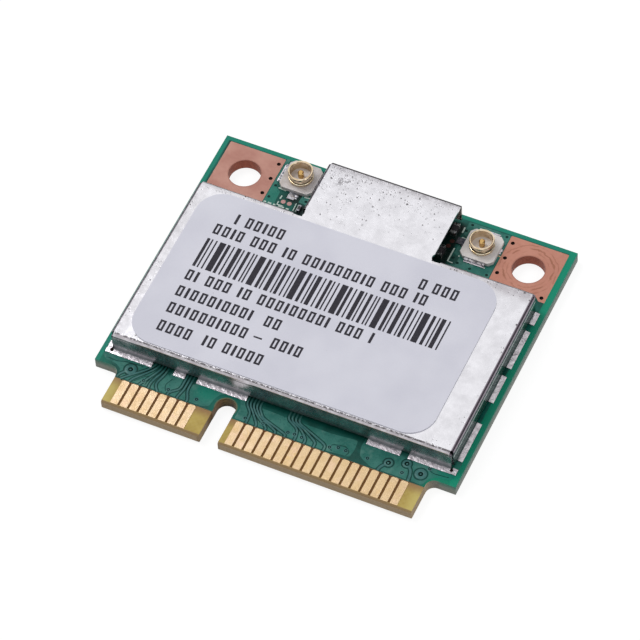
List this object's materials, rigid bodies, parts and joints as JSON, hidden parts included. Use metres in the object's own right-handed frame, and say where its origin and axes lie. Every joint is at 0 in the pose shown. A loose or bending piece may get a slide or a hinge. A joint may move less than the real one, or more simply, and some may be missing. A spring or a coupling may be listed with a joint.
{
  "type": "mini pcie wifi card",
  "caption": "Half-length mini PCI Express wireless card with an edge connector, a soldered shield can with a label, coaxial antenna receptacles and plated screw holes",
  "frame": {"origin": "middle of the board's underside: centre of the bounding box's bottom face", "axes": "+X along the edge connector, towards its long contact group; +Y from the contact edge to the screw holes; +Z out of the side that carries the shield can"},
  "size_m": [0.03, 0.0268, 0.0032],
  "materials": {
    "solder_mask": "green solder mask over glass laminate",
    "contact_gold": "thin hard gold plating, satin",
    "bare_copper": "dull bare copper",
    "tinned_steel": "bright tin plate with fine dark specks",
    "solder": "bright uneven solder",
    "label_paper": "matt grey-white label",
    "insulator": "matt warm grey-white polymer",
    "receptacle_gold": "polished gold plating",
    "mould_compound": "matt black epoxy",
    "lead_tin": "matt tin",
    "crystal_ceramic": "matt alumina",
    "crystal_metal": "satin nickel alloy",
    "ferrite": "dark grey ferrite",
    "filter_ceramic": "off-white ceramic",
    "capacitor_ceramic": "tan ceramic",
    "resistor_ceramic": "black glazed top on ceramic",
    "matching_ceramic": "dark grey ceramic",
    "end_cap_tin": "matt tin"
  },
  "bodies": {
    "root": {"board": "solder_mask", "contacts_top_short": "contact_gold", "contacts_top_long": "contact_gold", "contacts_bottom_short": "contact_gold", "contacts_bottom_long": "contact_gold", "screw_land_left": "bare_copper", "screw_land_right": "bare_copper", "test_pads": "bare_copper", "bare_pads": "bare_copper", "shield_can": "tinned_steel", "shield_solder_front": "solder", "shield_solder_right": "solder", "shield_solder_left": "solder", "shield_solder_back": "solder", "label": "label_paper", "left_receptacle_insulator": "insulator", "left_receptacle_shell": "receptacle_gold", "left_receptacle_pin": "receptacle_gold", "right_receptacle_insulator": "insulator", "right_receptacle_shell": "receptacle_gold", "right_receptacle_pin": "receptacle_gold", "receptacle_solder": "solder", "radio_chip": "mould_compound", "radio_chip_leads": "lead_tin", "crystal_base": "crystal_ceramic", "crystal_lid": "crystal_metal", "memory_chip": "mould_compound", "memory_chip_leads": "lead_tin", "regulator": "mould_compound", "regulator_leads": "lead_tin", "power_inductor": "ferrite", "inductor_terminals": "end_cap_tin", "front_end_left": "mould_compound", "front_end_right": "mould_compound", "band_filters": "filter_ceramic", "capacitor_bodies": "capacitor_ceramic", "capacitor_ends": "end_cap_tin", "resistor_bodies": "resistor_ceramic", "resistor_ends": "end_cap_tin", "supply_capacitor_bodies": "capacitor_ceramic", "supply_capacitor_ends": "end_cap_tin", "matching_bodies": "matching_ceramic", "matching_ends": "end_cap_tin"}
  },
  "joints": []
}
